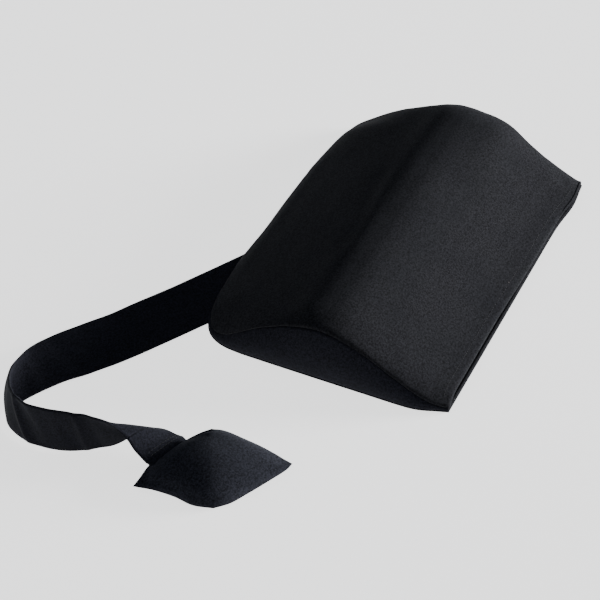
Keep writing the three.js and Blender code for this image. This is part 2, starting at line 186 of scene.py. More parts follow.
def fabric(name, colour, sheen, lint=0.0, back=1.0):
    """Brushed weft knit: fine wales and courses from the piece's own UV in metres, a nap
    of short fibres, uneven dye and, where asked, specks of lint and painted shade that
    darkens the other face to the share back of its tone."""
    mat, tree, shader = new_material(name)
    uv = node(tree, "ShaderNodeUVMap", uv_map="cloth").outputs[0]
    place = node(tree, "ShaderNodeTexCoord").outputs["Object"]
    wobble = node(tree, "ShaderNodeTexNoise", {"Vector": uv, "Scale": 260.0, "Detail": 2.0})
    shift = node(tree, "ShaderNodeVectorMath", {0: wobble.outputs["Color"], 1: (0.5, 0.5, 0.5)},
                 operation="SUBTRACT").outputs[0]
    shift = node(tree, "ShaderNodeVectorMath", {0: shift, "Scale": 0.0009},
                 operation="SCALE").outputs[0]
    bent = node(tree, "ShaderNodeVectorMath", {0: uv, 1: shift}, operation="ADD").outputs[0]
    turns = 2 * math.pi / (KNIT_PITCH * MM)
    parts = node(tree, "ShaderNodeSeparateXYZ", {0: bent})
    wale = math_node(tree, "SINE", math_node(tree, "MULTIPLY", parts.outputs[0], turns))
    course = math_node(tree, "SINE", math_node(tree, "MULTIPLY", parts.outputs[1], turns * 1.25))
    loops = math_node(tree, "MULTIPLY", wale, course)
    nap = noise(tree, place, 1100.0, 3.0, 0.7)
    clumps = noise(tree, place, 560.0, 2.0, 0.6)
    dye = noise(tree, place, 16.0, 4.0, 0.6)
    dark, light = shades(colour, 0.30, 1.85)
    grain = math_node(tree, "ADD", math_node(tree, "MULTIPLY", nap, 0.45),
                      math_node(tree, "MULTIPLY", clumps, 0.55))
    grain = math_node(tree, "ADD", grain, math_node(tree, "MULTIPLY", loops, 0.045))
    tone = mix_colour(tree, ramp(tree, grain, 0.39, 0.61), dark, light)
    patch = mix_colour(tree, ramp(tree, dye, 0.3, 0.7), (0.86, 0.87, 0.9, 1),
                       (1.12, 1.12, 1.1, 1))
    tone = mix_colour(tree, 1.0, tone, patch, "MULTIPLY")
    # painted shade: the other face, which faces the camera on the strap's near run, keeps only
    # back of its tone
    if back < 1:
        plain_u = node(tree, "ShaderNodeSeparateXYZ", {0: uv}).outputs[0]
        painted_shade_face = math_node(tree, "GREATER_THAN", plain_u, OTHER_FACE_U / 2)
        tone = mix_colour(tree, math_node(tree, "MULTIPLY", painted_shade_face, 1 - back), tone, (0, 0, 0, 1))
    if lint:
        cells = node(tree, "ShaderNodeTexVoronoi", {"Vector": place, "Scale": 70.0})
        chosen = node(tree, "ShaderNodeSeparateColor", {0: cells.outputs["Color"]}).outputs[0]
        near = math_node(tree, "LESS_THAN", cells.outputs["Distance"], 0.045)
        few = math_node(tree, "GREATER_THAN", chosen, 1.0 - lint)
        speck = math_node(tree, "MULTIPLY", near, few)
        tone = mix_colour(tree, speck, tone, (0.11, 0.1, 0.1, 1))
    tree.links.new(tone, shader.inputs["Base Color"])
    height = math_node(tree, "ADD", grain, math_node(tree, "MULTIPLY", loops, 0.1))
    bumped(tree, shader, height, 0.55, KNIT_RELIEF)
    shader.inputs["Roughness"].default_value = 0.95
    shader.inputs["Specular IOR Level"].default_value = 0.06
    shader.inputs["Sheen Weight"].default_value = sheen
    shader.inputs["Sheen Roughness"].default_value = 0.55
    shader.inputs["Sheen Tint"].default_value = (0.85, 0.9, 1.0, 1)
    return mat


COVER = fabric("cover_knit", (0.0094, 0.0095, 0.0112), 0.026, lint=0.012)
# the gusset's knit is the cover's, made darker and bluer: painted shade on the ends and the strap
# side
SIDE_KNIT_PAINTED_SHADE = fabric("gusset_knit_painted_shade", (0.0066, 0.0069, 0.0100), 0.016)
# back=0.62 paints shade on the strap's other face, the face seen on its near run
STRAP = fabric("strap_knit", (0.0078, 0.0081, 0.0118), 0.024, back=0.62)
POUCH = fabric("pouch_knit", (0.0126, 0.0132, 0.0180), 0.055)


def cellular(name, colour, scale, depth):
    """Open-cell foam: pores from Voronoi cells in object space, slightly uneven in shade."""
    mat, tree, shader = new_material(name)
    place = node(tree, "ShaderNodeTexCoord").outputs["Object"]
    cells = node(tree, "ShaderNodeTexVoronoi", {"Vector": place, "Scale": scale})
    cloud = noise(tree, place, 40.0, 4.0)
    dark, light = shades(colour, 0.72, 1.0)
    tone = mix_colour(tree, ramp(tree, cells.outputs["Distance"], 0.1, 0.6), dark, light)
    shade = mix_colour(tree, ramp(tree, cloud, 0.3, 0.7), (0.9, 0.9, 0.88, 1),
                       (1.06, 1.06, 1.05, 1))
    tree.links.new(mix_colour(tree, 1.0, tone, shade, "MULTIPLY"), shader.inputs["Base Color"])
    bumped(tree, shader, cells.outputs["Distance"], 0.6, depth)
    shader.inputs["Roughness"].default_value = 0.9
    return mat


def woven(name, colour, pitch, relief, rib=0.0):
    """Plain weave in object space: threads over and under, with a little dye noise.
    Pitch and relief are in millimetres; rib sets the weft closer than the warp."""
    mat, tree, shader = new_material(name)
    place = node(tree, "ShaderNodeTexCoord").outputs["Object"]
    parts = node(tree, "ShaderNodeSeparateXYZ", {0: place})
    turns = 2 * math.pi / (pitch * MM)
    warp = math_node(tree, "SINE", math_node(tree, "MULTIPLY", parts.outputs[0], turns))
    weft_from = math_node(tree, "ADD", parts.outputs[1], parts.outputs[2])
    weft = math_node(tree, "SINE", math_node(tree, "MULTIPLY", weft_from, turns * (1 + rib)))
    height = math_node(tree, "MULTIPLY", warp, weft)
    cloud = noise(tree, place, 900.0, 3.0)
    dark, light = shades(colour, 0.55, 1.35)
    grain = math_node(tree, "ADD", math_node(tree, "MULTIPLY", height, 0.2), cloud)
    tree.links.new(mix_colour(tree, ramp(tree, grain, 0.2, 0.8), dark, light),
                   shader.inputs["Base Color"])
    bumped(tree, shader, height, 0.7, relief)
    shader.inputs["Roughness"].default_value = 0.8
    return mat


def moulded(name, colour, rough, wear=0.0):
    """Moulded or enamelled trim: fine orange-peel, and rubbed paler edges where asked."""
    mat, tree, shader = new_material(name)
    place = node(tree, "ShaderNodeTexCoord").outputs["Object"]
    peel = noise(tree, place, 700.0, 2.0)
    cloud = noise(tree, place, 120.0, 4.0)
    dark, light = shades(colour, 0.8, 1.25)
    tone = mix_colour(tree, ramp(tree, cloud, 0.35, 0.65), dark, light)
    if wear:
        edge = node(tree, "ShaderNodeNewGeometry").outputs["Pointiness"]
        rubbed = math_node(tree, "MULTIPLY", ramp(tree, edge, 0.53, 0.62), wear)
        tone = mix_colour(tree, rubbed, tone, (0.16, 0.155, 0.15, 1))
    tree.links.new(tone, shader.inputs["Base Color"])
    bumped(tree, shader, peel, 0.25, 0.05)
    rough_map = node(tree, "ShaderNodeMapRange", {0: cloud, 3: rough - 0.06, 4: rough + 0.08})
    tree.links.new(rough_map.outputs[0], shader.inputs["Roughness"])
    return mat


FOAM = cellular("slow_foam", (0.62, 0.60, 0.52), 900.0, 0.3)
CANVAS = woven("canvas", (0.020, 0.020, 0.024), 0.9, 0.15)
TAPE = woven("zip_tape", (0.013, 0.013, 0.016), 0.55, 0.08, rib=0.6)
COIL = moulded("zip_coil", (0.011, 0.011, 0.012), 0.42)
ENAMEL = moulded("zip_enamel", (0.012, 0.012, 0.013), 0.32, wear=0.5)
THREAD = woven("thread", (0.0085, 0.0087, 0.0110), 0.35, 0.05)


# ---- mesh helpers ----
def smooth(x):
    """Smooth step from 0 to 1 as x goes from 0 to 1."""
    x = np.clip(x, 0.0, 1.0)
    return x * x * (3 - 2 * x)


def hump(x, at, wide):
    """Bell curve, 1 where x is at its middle."""
    return np.exp(-((x - at) / wide) ** 2)


def build(name, vertices, faces, uvs=None, material=None):
    """Object from arrays; uvs is one (u, v) per vertex, in metres of cloth."""
    mesh = bpy.data.meshes.new(name)
    mesh.from_pydata([tuple(v) for v in vertices], [], [tuple(f) for f in faces])
    if uvs is not None:
        layer = mesh.uv_layers.new(name="cloth")
        loops = np.zeros(len(mesh.loops), dtype=np.int64)
        mesh.loops.foreach_get("vertex_index", loops)
        layer.data.foreach_set("uv", np.asarray(uvs, float)[loops].ravel())
    mesh.polygons.foreach_set("use_smooth", [True] * len(mesh.polygons))
    mesh.update()
    obj = bpy.data.objects.new(name, mesh)
    bpy.context.scene.collection.objects.link(obj)
    if material:
        mesh.materials.append(material)
    return obj


def grid_faces(rows, columns, start=0, flip=False, wrap=False):
    """Quads of a rows x columns vertex grid; wrap joins the last column to the first."""
    faces = []
    for i in range(rows - 1):
        for j in range(columns if wrap else columns - 1):
            k = (j + 1) % columns
            a, b = start + i * columns + j, start + i * columns + k
            face = (a, b, b + columns, a + columns)
            faces.append(face[::-1] if flip else face)
    return faces


def slab(name, first, second, plan, material, flip=False):
    """Closed solid between two grids; flip turns its faces over, to point outwards."""
    rows, columns = first.shape[:2]
    count = rows * columns
    faces = grid_faces(rows, columns, flip=flip)
    faces += grid_faces(rows, columns, count, flip=not flip)
    index = np.arange(count).reshape(rows, columns)
    rim = [int(k) for k in (*index[0], *index[1:, -1], *index[-1, -2::-1], *index[-2:0:-1, 0])]
    for a, b in zip(rim, rim[1:] + rim[:1]):
        wall = (a, b, b + count, a + count) if flip else (b, a, a + count, b + count)
        faces.append(wall)
    vertices = np.vstack([first.reshape(-1, 3), second.reshape(-1, 3)])
    return build(name, vertices, faces, np.tile(plan.reshape(-1, 2), (2, 1)), material)


def resample(points, count):
    """Equally spaced points along a polyline."""
    points = np.asarray(points, float)
    steps = np.r_[0, np.cumsum(np.linalg.norm(np.diff(points, axis=0), axis=1))]
    where = np.linspace(0, steps[-1], count)
    return np.stack([np.interp(where, steps, points[:, k]) for k in range(points.shape[1])], 1)


def spline(points, per=16):
    """Centripetal Catmull-Rom curve through control points."""
    p = np.asarray(points, float)
    p = np.vstack([2 * p[0] - p[1], p, 2 * p[-1] - p[-2]])
    out = []
    for i in range(1, len(p) - 2):
        q = p[i - 1:i + 3]
        t = np.r_[0, np.cumsum(np.linalg.norm(np.diff(q, axis=0), axis=1) ** 0.5)]
        for x in np.linspace(t[1], t[2], per, endpoint=False):
            a = [
                (t[k + 1] - x) / (t[k + 1] - t[k]) * q[k]
                + (x - t[k]) / (t[k + 1] - t[k]) * q[k + 1]
                for k in range(3)
            ]
            b = [
                (t[k + 2] - x) / (t[k + 2] - t[k]) * a[k]
                + (x - t[k]) / (t[k + 2] - t[k]) * a[k + 1]
                for k in range(2)
            ]
            out.append((t[2] - x) / (t[2] - t[1]) * b[0] + (x - t[1]) / (t[2] - t[1]) * b[1])
    out.append(p[-2])
    return np.array(out)


def blurred_table(pairs, blur):
    """Smooth function through [x, value] pairs in millimetres, returned for metres."""
    pairs = np.asarray(pairs, float)
    x = np.linspace(pairs[0, 0] - 60, pairs[-1, 0] + 60, 1600)
    slope_lo = (pairs[1, 1] - pairs[0, 1]) / (pairs[1, 0] - pairs[0, 0])
    slope_hi = (pairs[-1, 1] - pairs[-2, 1]) / (pairs[-1, 0] - pairs[-2, 0])
    y = np.interp(x, pairs[:, 0], pairs[:, 1])
    y = np.where(x < pairs[0, 0], pairs[0, 1] + slope_lo * (x - pairs[0, 0]), y)
    y = np.where(x > pairs[-1, 0], pairs[-1, 1] + slope_hi * (x - pairs[-1, 0]), y)
    reach = int(3 * blur / (x[1] - x[0]))
    kernel = np.exp(-0.5 * (np.arange(-reach, reach + 1) * (x[1] - x[0]) / blur) ** 2)
    y = np.convolve(np.pad(y, reach, mode="edge"), kernel / kernel.sum(), mode="valid")
    return lambda v: np.interp(np.asarray(v) / MM, x, y) * MM


def value_noise(points, scale, seed=0.0):
    """Smooth noise in -1..1 from summed sines, the same on every run."""
    p = np.asarray(points, float) / scale
    x, y = p[..., 0], p[..., 1]
    z = p[..., 2] if p.shape[-1] > 2 else 0 * x
    total = np.sin(1.7 * x + 0.9 * y + 1.3 * z + seed)
    total += np.sin(-1.1 * x + 2.1 * y - 0.7 * z + 2.3 * seed + 1.0)
    total += np.sin(2.6 * x - 1.4 * y + 1.9 * z + 0.7 * seed + 2.0)
    total += np.sin(-2.2 * x - 2.9 * y + 0.8 * z + 1.9 * seed + 4.0)
    return total / 4


# ---- cushion shape ----
# crown over the middle section, and the height of the gusset's top seam at the ends
crown_height = blurred_table(
    [(-127, 11.5), (-110, 18), (-93, 27), (-76, 37), (-54, 49), (-36, 58), (-21, 64),
     (-9, 66.3), (8, 66), (18, 64.5), (26, 61.5), (40, 55), (63, 45), (97, 29), (115, 19.5),
     (129, 13)], 3.0
)
end_seam = blurred_table(
    [(-129, 6.5), (-121, 8), (-110, 11.5), (-99, 17), (-76, 30.5), (-54, 43.5), (-35, 52),
     (-19, 57.5), (-5, 60.5), (12, 59.5), (37, 52.5), (63, 39.5), (85, 23.5), (97, 14.5),
     (105, 10), (113, 7.5), (129, 7), (140, 7)], 3.5
)


def thin_edge(x):
    """y of the front panel's hem: out at the far ear, and drawn back along the near half."""
    x = np.asarray(x) / MM
    drawn = 2.0 * smooth((x + 180) / 30) * (1 - smooth((x + 60) / 110))
    ear = 3.6 * hump(x, 148, 26)
    return LIP_SIDE + (0.6 + drawn - ear) * MM


# plan of the front panel's seam from the near thin corner round to the far one (mm)
OUTLINE = [
    (-173.5, -128), (-179, -110), (-181, -92), (-181.4, -40), (-181.4, 20), (-181.2, 60),
    (-180.8, 82), (-178.5, 99), (-173, 111), (-164, 119.5), (-150, 126), (-133, 130),
    (-113, 132), (-93, 133), (-69, 133.6), (-48, 132.6), (-22, 131), (27, 130.2), (71, 128.6),
    (92, 127.2), (112, 125.2), (131, 122.8), (147, 119.6), (160, 116), (169, 112),
    (175, 106.5), (179.2, 98), (181, 86), (181.6, 60), (181.6, 20), (181.2, -40), (181, -92),
    (180.6, -115), (180, -128.4),
]
# where the strap side starts and ends on that line (mm)
NEAR_CORNER, FAR_CORNER = (-167.5, 116.8), (173.5, 108.5)


def plan_sides(count_ends, count_long):
    """The plan's four sides as point rows: near end, strap side, far end, thin edge."""
    line = resample(spline(OUTLINE), 2400) * MM
    cuts = [int(np.linalg.norm(line - np.array(c) * MM, axis=1).argmin())
            for c in (NEAR_CORNER, FAR_CORNER)]
    near_end = resample(line[:cuts[0] + 1], count_ends)
    far_end = resample(line[cuts[1]:][::-1], count_ends)
    long_side = resample(line[cuts[0]:cuts[1] + 1], count_long)
    x = np.linspace(line[0, 0], line[-1, 0], 400)
    thin = np.stack([x, thin_edge(x)], 1)
    thin[0], thin[-1] = line[0], line[-1]
    return near_end, long_side, far_end, resample(thin, count_long)


def coons(left, top, right, bottom):
    """Patch between four sides, rows along the ends and columns along the length."""
    rows, columns = len(left), len(top)
    s = np.linspace(0, 1, columns)[None, :, None]
    t = np.linspace(0, 1, rows)[:, None, None]
    patch = (1 - t) * bottom[None] + t * top[None]
    patch = patch + (1 - s) * left[:, None] + s * right[:, None]
    corners = (1 - t) * ((1 - s) * bottom[0] + s * bottom[-1])
    corners = corners + t * ((1 - s) * top[0] + s * top[-1])
    return patch - corners


ROWS, COLUMNS = 110, 150
left, top, right, bottom = plan_sides(ROWS, COLUMNS)
plan = coons(left, top, right, bottom)
gusset_line = np.vstack([left, top[1:-1], right[::-1]])


def seam_height(points):
    """Height of the gusset's top seam: the end curve, which towards the far end is broader
    on the thin side and lower on the strap side."""
    y = points[..., 1]
    far = smooth(points[..., 0] / 0.170)
    broad = hump(y, -0.046, 0.021)
    lean = hump(y, 0.045, 0.034)
    return end_seam(y) + far * (0.0058 * broad - 0.0050 * lean)


def distance_to(points, line):
    """Distance from plan points to a polyline, and the nearest of its points."""
    flat = points.reshape(-1, 2)
    best = np.full(len(flat), 1e9)
    which = np.zeros(len(flat), dtype=int)
    for start in range(0, len(line), 64):
        block = line[start:start + 64]
        d = np.linalg.norm(flat[:, None] - block[None], axis=2)
        nearest = d.argmin(axis=1)
        value = d[np.arange(len(flat)), nearest]
        closer = value < best
        best[closer] = value[closer]
        which[closer] = nearest[closer] + start
    return best.reshape(points.shape[:-1]), which.reshape(points.shape[:-1])


def front_height(points):
    """Outside of the front panel: the crown, rolled down to the seam round three sides."""
    away, which = distance_to(points, gusset_line)
    near = gusset_line[which]
    seam = seam_height(near)
    x, y = points[..., 0], points[..., 1]
    at_end = smooth((np.abs(near[..., 0]) - 0.150) / 0.02)
    ear = smooth((-0.06 - near[..., 1]) / 0.05)
    corner = at_end * smooth((near[..., 1] - 0.070) / 0.030)
    roll = 0.014 + at_end * (0.017 - 0.008 * ear) + 0.012 * corner
    q = np.clip(away / roll, 0, 1)
    rise = np.sqrt(np.clip(1 - (1 - q) ** 2, 0, 1)) ** (1.15 + 0.45 * corner)
    height = seam + (crown_height(y) - seam) * rise
    # towards the far end the crest is broader on the thin side and narrower on the other
    far = smooth((x - 0.050) / 0.115)
    broad = hump(y, -0.046, 0.021)
    lean = hump(y, 0.040, 0.030)
    cut = smooth((x - 0.138) / 0.036) * smooth((y - 0.045) / 0.062)
    height = height + (far * (0.0062 * broad - 0.0030 * lean) - 0.0100 * cut) * rise
    # long swell of the foam between the ends
    height = height + 0.0012 * np.sin(math.pi * np.clip((x / HALF + 1) / 2, 0, 1)) * rise
    # thin edge falls a little to the two ears
    edge = smooth((LIP_SIDE + 0.026 - y) / 0.026)
    corner = smooth((np.abs(x) - HALF + 0.026) / 0.026)
    return height - 0.0010 * edge * corner


def crease(points):
    """Soft ridge and trough along the strap side of the crest, in the middle part, and a
    dimple in the far ear."""
    x, y = points[..., 0] / MM, points[..., 1] / MM
    line = 17.5 + 0.055 * (x + 40) + 2.0 * np.sin(x / 23.0)
    across = y - line
    span = smooth((x + 105) / 60) * (1 - smooth((x - 40) / 40))
    ridge = 0.3 * hump(across, 0, 5.0) - hump(across, 10, 9.0)
    dimple = -1.5 * np.exp(-((x - 163) / 8.0) ** 2 - ((y + 114) / 9.0) ** 2)
    return (ridge * span + dimple) * MM


def cloth_relief(points, height):
    """Slack of the cover over the foam, and fine puckers beside the gusset seam."""
    away, which = distance_to(points, gusset_line)
    spots = np.dstack([points[..., 0], points[..., 1], height])
    slack = 0.35 * value_noise(spots, 0.060, 1.0) + 0.16 * value_noise(spots, 0.026, 2.0)
    pucker = value_noise(np.dstack([which * 0.0024, 0 * away]), 0.0075, 3.0)
    pucker = 0.45 * pucker * np.exp(-away / 0.007)
    fade = smooth(away / 0.012)
    return (slack * fade + pucker * smooth(away / 0.002)) * MM


def softened(table, weight, passes):
    """A grid of heights averaged with its neighbours where weight is above 0."""
    table = table.copy()
    inside = weight[1:-1, 1:-1]
    for _ in range(passes):
        around = (table[:-2, 1:-1] + table[2:, 1:-1] + table[1:-1, :-2] + table[1:-1, 2:]) / 4
        table[1:-1, 1:-1] += inside * (around - table[1:-1, 1:-1])
    return table


SOFTENING, SOFT_PASSES = 0.8, 40
height = front_height(plan)
corners = (smooth((np.abs(plan[..., 0]) - 0.085) / 0.04) * smooth((plan[..., 1] - 0.03) / 0.04)
           * smooth(distance_to(plan, gusset_line)[0] / 0.008))
height = softened(height, SOFTENING * corners, SOFT_PASSES)
surface = np.dstack([plan, height + crease(plan) + cloth_relief(plan, height)])

# hem of the front panel: four rows that turn in and back up under the thin edge, as
# (y, z) from the edge
HEM = [(-0.0012, -0.0020), (-0.0006, -0.0035), (0.0008, -0.0040), (0.0013, -0.0026)]
first = surface[0]
# the hem is shallow where the zip's pull rests and turns
shallow = 1 - 0.9 * smooth((first[:, 0] - 0.098) / 0.034)
ones = np.ones_like(shallow)
hem_rows = [first + np.stack([0 * ones, dy * ones, dz * shallow], 1) for dy, dz in HEM]
# at the two ends the rows close up on the edge
fade = smooth((HALF - np.abs(first[:, 0])) / 0.010)[:, None]
hem_rows = [first + (row - first) * fade + (1 - fade) * np.array([0, 0.0002, -0.0002]) * (k + 1)
            for k, row in enumerate(hem_rows)]
front_grid = np.concatenate([np.array(hem_rows[::-1]), surface], axis=0)


def arc_lengths(grid, axis):
    """Distance of each grid point from the start of its row or column."""
    steps = np.linalg.norm(np.diff(grid, axis=axis), axis=2)
    pad = [(0, 0), (0, 0)]
    pad[axis] = (1, 0)
    return np.pad(np.cumsum(steps, axis=axis), pad)


def grid_piece(name, grid, material, flip=False, thickness=0.0012):
    """Piece from a grid of points, its UV the arc lengths along rows and columns."""
    rows, columns = grid.shape[:2]
    uvs = np.dstack([arc_lengths(grid, 1), arc_lengths(grid, 0)]).reshape(-1, 2)
    faces = grid_faces(rows, columns, flip=flip)
    obj = build(name, grid.reshape(-1, 3), faces, uvs, material)
    if thickness:
        shell = obj.modifiers.new("thickness", "SOLIDIFY")
        shell.thickness = thickness
        shell.offset = -1.0
        shell.use_even_offset = True
    return obj


front = grid_piece("front_cover", front_grid, COVER)

# ---- strap route: sewn end, bend and run under the cushion, then the free part ----
STRAP_WIDTH = 0.060
STRAP_THICK = 0.0027
STRAP_LEVEL = 0.0016
SEWN_LENGTH = 0.050
BEND_RADIUS = 0.080
BEND_AT = np.array([-BEND_RADIUS, 0.010])
# edges past the flex line: far run, banked U-turn, near run, twist, pouch (mm)
INNER_EDGE = [
    (-187.7, 141.3, 1.75), (-206.6, 152.9, 1.75), (-225.4, 164.6, 1.75), (-243, 176.8, 1.75),
    (-267.5, 195.4, 1.75), (-291, 214.4, 1.75), (-322, 232.5, 1.8), (-341, 238.5, 1.8),
    (-355, 234, 1.8), (-365, 219, 1.7), (-369.5, 200, 1.7), (-368.5, 181, 1.7),
    (-362.5, 163, 1.7), (-352, 146, 1.8), (-340, 130, 3.2), (-326, 116.5, 8.5),
    (-314, 99, 12.5), (-312.5, 75, 11.5),
]
OUTER_EDGE = [
    (-146, 189.4, 1.75), (-166, 202.6, 1.75), (-188.5, 216.2, 2.0), (-216, 235.2, 3.2),
    (-246, 253, 5.5), (-268, 259, 10), (-292, 255.5, 21), (-320, 247, 34), (-345, 234, 46),
    (-363, 219, 54), (-374, 202, 58), (-373, 184, 58), (-367, 166, 56), (-361, 148, 53),
    (-356, 130, 48), (-353, 114, 35), (-356, 101, 22), (-357, 90, 12.5),
]
TUCK = [(-320, 60, 9.5), (-360, 74, 11.0)]  # where the two edges end inside the pouch


def root_line(beyond=0.0):
    """Centre line of the sewn and hidden part, in plan."""
    heading = math.atan2(ALONG[1], ALONG[0])
    turn = np.linspace(0, heading - math.pi / 2, 24)
    bend = BEND_AT + BEND_RADIUS * np.stack([np.cos(turn), np.sin(turn)], 1)
    start = np.array([[0.0, BEND_AT[1] - SEWN_LENGTH]])
    end = (FLEX + ALONG * beyond)[None, :2]
    return np.vstack([start, bend, end])


def flare(before):
    """Extra width of the strap's outer side at a distance before the flex line."""
    before = np.asarray(before) / MM
    return np.interp(before, [-60, 0, 30, 56, 90, 120, 165], [0, 2.2, 4, 5.6, 8, 5, 0]) * MM


def in_channel(points):
    """1 over the strap's channel in the back panel, falling to 0 beside it."""
    line = resample(root_line(0.02), 260)
    step = np.gradient(line, axis=0)
    away, which = distance_to(points, line)
    offset = points[..., :2] - line[which]
    outer_side = offset[..., 0] * step[which, 1] - offset[..., 1] * step[which, 0] > 0
    before = np.linalg.norm(line[which] - FLEX[:2], axis=-1)
    reach = STRAP_WIDTH / 2 + 0.0035 + np.where(outer_side, flare(before), 0)
    return smooth((reach - away) / 0.0025)


# gusset band: from the back panel up to the top seam, a little proud at mid height
BAND_ROWS = 14
BAND_LOW = 0.0016
line_z = np.concatenate([surface[:, 0, 2], surface[-1, 1:-1, 2], surface[::-1, -1, 2]])
tangent = np.gradient(gusset_line, axis=0)
outward = np.stack([-tangent[:, 1], tangent[:, 0]], 1)
outward /= np.linalg.norm(outward, axis=1)[:, None]
near_end = smooth((-0.135 - gusset_line[:, 0]) / 0.03) * smooth((gusset_line[:, 1] + 0.122) / 0.03)
base_line = gusset_line + outward * (0.0030 * near_end)[:, None]
low_z = BAND_LOW + 0.0034 * in_channel(gusset_line)
band = []
for k in range(BAND_ROWS + 1):
    t = k / BAND_ROWS
    z = low_z + (line_z - 0.0005 - low_z) * t
    tall = np.clip((line_z - low_z) / 0.05, 0, 1)
    swell = (0.0004 + (0.0022 + 0.0012 * near_end) * tall) * math.sin(math.pi * t ** 0.9)
    tuck = -0.0009 * t ** 8 - 0.0006 * (1 - t) ** 8
    ripple = 0.0003 * value_noise(np.column_stack([gusset_line, z]), 0.022, 5.0)
    out = swell + tuck + ripple * math.sin(math.pi * t)
    line = base_line + (gusset_line - base_line) * t
    band.append(np.column_stack([line + outward * out[:, None], z]))
gusset = grid_piece("gusset_cover", np.array(band), SIDE_KNIT_PAINTED_SHADE, flip=True)

# back panel: flat underneath, with the strap's channel and a lip along the thin edge that
# is drawn out near the far ear
BACK_LEVEL = 0.0002
BACK_THICK = 0.0013
CHANNEL_HIGH = 0.0040
LIP_HIGH = 0.0020
lip_x = np.linspace(float(left[0, 0]), float(right[0, 0]), COLUMNS)
lip_y = LIP_SIDE - 0.0036 * hump(lip_x, 0.148, 0.026)
lip = np.stack([lip_x, lip_y], 1)
near_turn, far_turn = ROWS - 1, ROWS + COLUMNS - 2
base_sides = (base_line[:near_turn + 1], base_line[near_turn:far_turn + 1],
              base_line[far_turn:][::-1])
# the two end sides start from the lip's ends, and skip the seam's first points
end_rows = [resample(np.vstack([corner[None], line[6:]]), ROWS)
            for corner, line in ((lip[0], base_sides[0]), (lip[-1], base_sides[2]))]
back_plan = coons(end_rows[0], base_sides[1], end_rows[1], lip)
channel = in_channel(back_plan)
under = BACK_LEVEL + CHANNEL_HIGH * channel
hem = hump(back_plan[..., 1] - lip_y[None], 0.0016, 0.0016)
over = under + BACK_THICK + LIP_HIGH * hem
thinned = 0.00042 * np.ones_like(under)  # the border is a little thinner than the rest
thinned[1:-1, 1:-1] = 0.0
under_grid = np.dstack([back_plan, under + thinned])
over_grid = np.dstack([back_plan, over - thinned])
back = slab("back_cover", under_grid, over_grid, back_plan, COVER, flip=True)

for piece, cad in ((front, "cover_front_panel"), (gusset, "cover_gusset"),
                   (back, "cover_back_panel")):
    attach(piece, "cushion")
    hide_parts(cad)


# foam core: the cover's own shape, a cloth's thickness inside it
FOAM_GAP = 0.0030
FOAM_THIN_SIDE = -0.1175
inset = back_plan - back_plan * (FOAM_GAP / 0.125)
inset[..., 1] = np.maximum(inset[..., 1], FOAM_THIN_SIDE)
foam_top = np.dstack([inset, np.maximum(surface[..., 2] - FOAM_GAP * 1.3, under + 0.0045)])
foam_low = np.dstack([inset, under + 0.0026])
foam = slab("foam_block", foam_top, foam_low, back_plan, FOAM)
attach(foam, "cushion")
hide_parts("foam_core")


# ---- strap ----
FREE_STEPS = 230
TUCK_STEPS = 8


def along(points, where):
    """Points at fractions 0..1 of an evenly spaced polyline."""
    place = np.clip(where, 0, 1) * (len(points) - 1)
    low = np.minimum(place.astype(int), len(points) - 2)
    return points[low] + (points[low + 1] - points[low]) * (place - low)[:, None]


def strap_stations():
    """Edge points of the whole strap in pairs; the row where it leaves the cushion."""
    line = resample(root_line(), 110)
    step = np.gradient(line, axis=0)
    step /= np.linalg.norm(step, axis=1)[:, None]
    side = np.stack([step[:, 1], -step[:, 0]], 1) * STRAP_WIDTH / 2
    level = np.full((len(line), 1), STRAP_LEVEL)
    inner = np.hstack([line - side, level])
    spread = 1 + flare(np.linalg.norm(line - line[-1], axis=1))[:, None] * 2 / STRAP_WIDTH
    outer = np.hstack([line + side * spread, level])
    free_inner = resample(spline([inner[-1] / MM] + INNER_EDGE), 700) * MM
    free_outer = resample(spline([outer[-1] / MM] + OUTER_EDGE), 700) * MM
    where = np.linspace(0, 1, FREE_STEPS)
    # the outer edge trails through the U-turn, where the band stands up
    trail = 0.055 * hump(where, 0.475, 0.075)
    free_inner = along(free_inner, where)
    free_outer = along(free_outer, where - trail)
    tuck = np.linspace(0, 1, TUCK_STEPS + 1)[1:, None]
    tail_inner = free_inner[-1] + (np.array(TUCK[0]) * MM - free_inner[-1]) * tuck
    tail_outer = free_outer[-1] + (np.array(TUCK[1]) * MM - free_outer[-1]) * tuck
    inner = np.vstack([inner, free_inner[1:], tail_inner])
    outer = np.vstack([outer, free_outer[1:], tail_outer])
    return inner, outer, len(line) - 1


ACROSS = 28
inner, outer, flex_row = strap_stations()
middle = (inner + outer) / 2
run = np.r_[0, np.cumsum(np.linalg.norm(np.diff(middle, axis=0), axis=1))]
seam_row = len(run) - 1 - TUCK_STEPS
free = np.clip((run - run[flex_row]) / (run[seam_row] - run[flex_row]), 0, 1.1)
chord = outer - inner
chord_length = np.linalg.norm(chord, axis=1)
travel = np.gradient(middle, axis=0)
normal = np.cross(chord, travel)
normal /= np.linalg.norm(normal, axis=1)[:, None]
# where its edges are closer than it is wide, the band cups
slack = np.clip(STRAP_WIDTH / chord_length - 1, 0, 0.6)
cup = chord_length * np.sqrt(0.375 * slack)
cup = cup * (0.50 * smooth((free - 0.84) / 0.07) - 0.22 * smooth((free - 0.3) / 0.1))
FOLDS = [  # place along the free part, slant, width, height; + is the inner face
    (0.655, 0.004, 0.0085, -0.0022), (0.680, 0.004, 0.0150, 0.0016),
    (0.800, 0.015, 0.0080, -0.0021), (0.826, 0.012, 0.0130, 0.0018),
    (0.752, 0.020, 0.0200, -0.0008), (0.600, 0.020, 0.0200, -0.0007),
    (0.430, 0.012, 0.0160, 0.0010), (0.330, 0.010, 0.0200, -0.0010),
    (0.935, -0.030, 0.0140, 0.0010), (0.972, -0.012, 0.0090, -0.0010),
]


